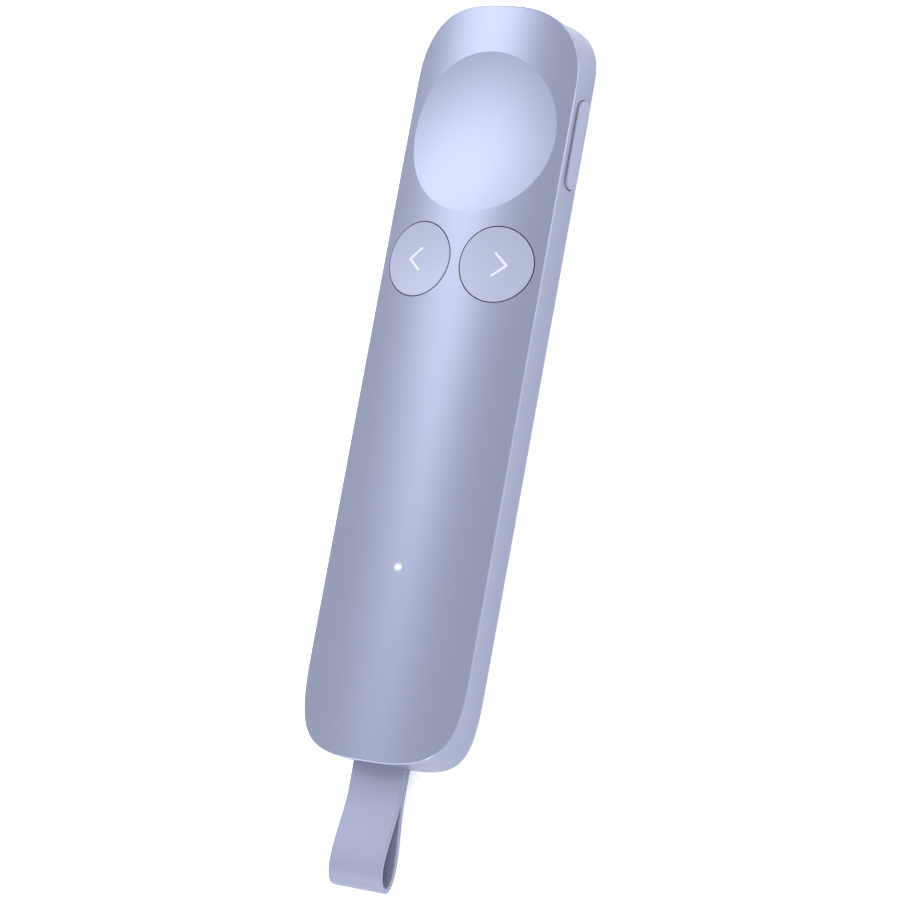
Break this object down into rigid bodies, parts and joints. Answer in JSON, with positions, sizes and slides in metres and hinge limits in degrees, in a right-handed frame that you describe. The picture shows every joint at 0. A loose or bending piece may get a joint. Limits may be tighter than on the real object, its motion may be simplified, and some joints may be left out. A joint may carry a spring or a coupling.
{
  "type": "wireless presentation clicker",
  "caption": "Slim handheld presentation clicker: crowned face with a touch dish, round back and next buttons, a long side button, a status light and a plug-in receiver on a pull strap.",
  "frame": {"origin": "centre of the flat underside, below the middle of the body without its strap", "axes": "+Y along the body to the head (dish end), +X to the wall with the side button, +Z out of the crowned face"},
  "size_m": [0.032, 0.1523, 0.0111],
  "materials": {
    "shell": "satin lilac, fine bead-blasted grain",
    "button": "satin lilac, a shade lighter than the shell",
    "strap": "matte lilac moulded strap",
    "clear_plastic": "clear, lit from below",
    "led_white": "diffuse white",
    "circuit_board": "dark green solder resist",
    "chip_black": "black moulding",
    "plated_steel": "plated, smooth",
    "ceramic": "tan ceramic",
    "film": "amber film",
    "tape": "white tape",
    "foam": "black foam",
    "frame_plastic": "black moulded plastic",
    "pouch": "aluminium laminate pouch",
    "connector_plastic": "natural nylon",
    "lead_rubber": "insulated lead"
  },
  "bodies": {
    "body": {"top_housing": "shell", "bottom_cover": "shell", "back_switch": "plated_steel", "next_switch": "plated_steel", "side_switch": "plated_steel", "reset_switch": "plated_steel", "light_pipe": "clear_plastic", "status_led": "led_white", "pad_sensor": "film", "pad_flex": "film", "pad_connector": "connector_plastic", "haptic_motor": "plated_steel", "motor_tape": "tape", "main_board": "circuit_board", "radio_chip": "chip_black", "radio_shield": "plated_steel", "motion_sensor": "chip_black", "power_chip": "chip_black", "board_parts": "ceramic", "antenna": "plated_steel", "inner_frame": "frame_plastic", "board_screws": "plated_steel", "battery_cell": "pouch", "battery_tape": "tape", "battery_foam": "foam", "battery_guard": "circuit_board", "battery_connector": "connector_plastic", "battery_leads": "lead_rubber", "charge_socket": "plated_steel", "socket_tongue": "frame_plastic", "bay_sleeve": "frame_plastic", "bay_springs": "plated_steel"},
    "back_key": {"back_button": "button", "back_plunger": "chip_black"},
    "next_key": {"next_button": "button", "next_plunger": "chip_black"},
    "side_key": {"side_button": "button", "side_plunger": "chip_black"},
    "reset_key": {"reset_plunger": "chip_black"},
    "receiver": {"receiver_top": "shell", "receiver_bottom": "shell", "receiver_board": "circuit_board", "receiver_plug": "plated_steel", "strap_pin": "plated_steel", "strap": "strap"}
  },
  "joints": [
    {"name": "back_press", "type": "slide", "parent": "body", "child": "back_key", "axis": [0, 0, -1], "range_m": [0, 0.0004], "stiffness_N_per_m": 4000},
    {"name": "next_press", "type": "slide", "parent": "body", "child": "next_key", "axis": [0, 0, -1], "range_m": [0, 0.0004], "stiffness_N_per_m": 4000},
    {"name": "side_press", "type": "slide", "parent": "body", "child": "side_key", "axis": [-1, 0, 0], "range_m": [0, 0.00035], "stiffness_N_per_m": 4500},
    {"name": "reset_press", "type": "slide", "parent": "body", "child": "reset_key", "axis": [0, 1, 0], "range_m": [0, 0.00025], "stiffness_N_per_m": 4000},
    {"name": "receiver_pull", "type": "slide", "parent": "body", "child": "receiver", "axis": [0, -1, 0], "range_m": [0, 0.0189]}
  ]
}
